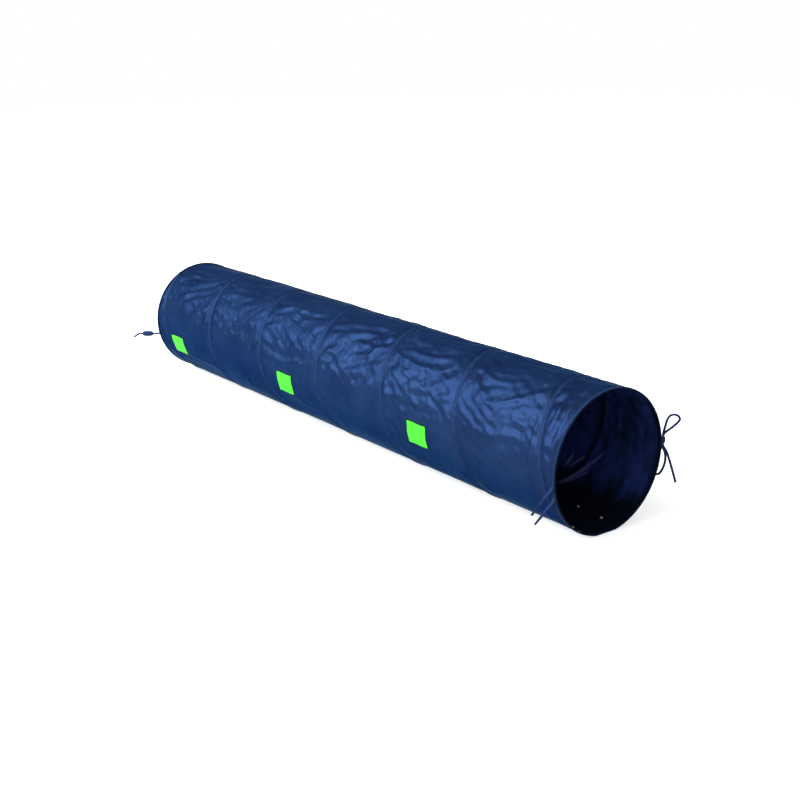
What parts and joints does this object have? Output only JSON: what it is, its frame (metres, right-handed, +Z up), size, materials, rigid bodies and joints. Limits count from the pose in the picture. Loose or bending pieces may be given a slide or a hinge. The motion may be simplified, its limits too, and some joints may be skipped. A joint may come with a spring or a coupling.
{
  "type": "dog agility tunnel",
  "caption": "Long round cloth tunnel for dog agility, held open by a spiral spring of steel wire, that closes up along its length, with reflective squares and tie tapes.",
  "frame": {"origin": "on the ground under the middle of the tunnel, with the tie tapes left out", "axes": "+X along the tunnel to the mouth nearest the picture's camera, +Z up"},
  "size_m": [3.3206, 0.7723, 0.5954],
  "materials": {
    "spring_steel": "drawn spring wire, 3 mm",
    "crimp_steel": "pressed steel sleeve",
    "casing_cloth": "dark navy woven polyester strip, stitched along both edges",
    "skin_cloth": "thin navy polyester with a soft sheen, creased",
    "reflective_green": "bright neon green reflective cloth, sewn round its edge",
    "binding_cloth": "dark navy woven polyester strip",
    "eyelet_brass": "pale plated brass",
    "tape_cloth": "dark navy woven tape, 10 mm wide"
  },
  "bodies": {
    "front_end": {"front_ring": "spring_steel", "front_crimp": "crimp_steel", "front_binding": "binding_cloth", "front_bow_knot": "tape_cloth", "front_bow_upper_loop": "tape_cloth", "front_bow_lower_loop": "tape_cloth", "front_bow_tail": "tape_cloth", "front_upper_tail": "tape_cloth", "front_lower_tail": "tape_cloth"},
    "turn_1": {"spring_turn_1": "spring_steel", "casing_turn_1": "casing_cloth", "skin_bay_1": "skin_cloth", "front_hem": "skin_cloth", "eyelet_1": "eyelet_brass", "eyelet_2": "eyelet_brass", "eyelet_3": "eyelet_brass"},
    "turn_2": {"spring_turn_2": "spring_steel", "casing_turn_2": "casing_cloth", "skin_bay_2": "skin_cloth", "reflector_near": "reflective_green"},
    "turn_3": {"spring_turn_3": "spring_steel", "casing_turn_3": "casing_cloth", "skin_bay_3": "skin_cloth"},
    "turn_4": {"spring_turn_4": "spring_steel", "casing_turn_4": "casing_cloth", "skin_bay_4": "skin_cloth", "reflector_middle": "reflective_green"},
    "turn_5": {"spring_turn_5": "spring_steel", "casing_turn_5": "casing_cloth", "skin_bay_5": "skin_cloth"},
    "turn_6": {"spring_turn_6": "spring_steel", "casing_turn_6": "casing_cloth", "skin_bay_6": "skin_cloth", "reflector_far": "reflective_green", "rear_hem": "skin_cloth", "rear_ring": "spring_steel", "rear_crimp": "crimp_steel", "rear_binding": "binding_cloth", "rear_tie_strap": "tape_cloth", "rear_tie_knot": "tape_cloth", "rear_tie_tail": "tape_cloth"}
  },
  "joints": [
    {"name": "turn_1_slide", "type": "slide", "parent": "front_end", "child": "turn_1", "axis": [1, 0, 0], "range_m": [0, 0.517], "stiffness_N_per_m": 20, "springref_m": -0.25, "deforming": ["spring_turn_1", "casing_turn_1", "skin_bay_1", "front_hem", "eyelet_1", "eyelet_2", "eyelet_3"]},
    {"name": "turn_2_slide", "type": "slide", "parent": "turn_1", "child": "turn_2", "axis": [1, 0, 0], "range_m": [0, 0.517], "stiffness_N_per_m": 20, "springref_m": -0.25, "deforming": ["spring_turn_2", "casing_turn_2", "skin_bay_2", "reflector_near"]},
    {"name": "turn_3_slide", "type": "slide", "parent": "turn_2", "child": "turn_3", "axis": [1, 0, 0], "range_m": [0, 0.517], "stiffness_N_per_m": 20, "springref_m": -0.25, "deforming": ["spring_turn_3", "casing_turn_3", "skin_bay_3"]},
    {"name": "turn_4_slide", "type": "slide", "parent": "turn_3", "child": "turn_4", "axis": [1, 0, 0], "range_m": [0, 0.517], "stiffness_N_per_m": 20, "springref_m": -0.25, "deforming": ["spring_turn_4", "casing_turn_4", "skin_bay_4", "reflector_middle"]},
    {"name": "turn_5_slide", "type": "slide", "parent": "turn_4", "child": "turn_5", "axis": [1, 0, 0], "range_m": [0, 0.517], "stiffness_N_per_m": 20, "springref_m": -0.25, "deforming": ["spring_turn_5", "casing_turn_5", "skin_bay_5"]},
    {"name": "turn_6_slide", "type": "slide", "parent": "turn_5", "child": "turn_6", "axis": [1, 0, 0], "range_m": [0, 0.517], "stiffness_N_per_m": 20, "springref_m": -0.25, "deforming": ["spring_turn_6", "casing_turn_6", "skin_bay_6", "reflector_far", "rear_hem"]}
  ]
}
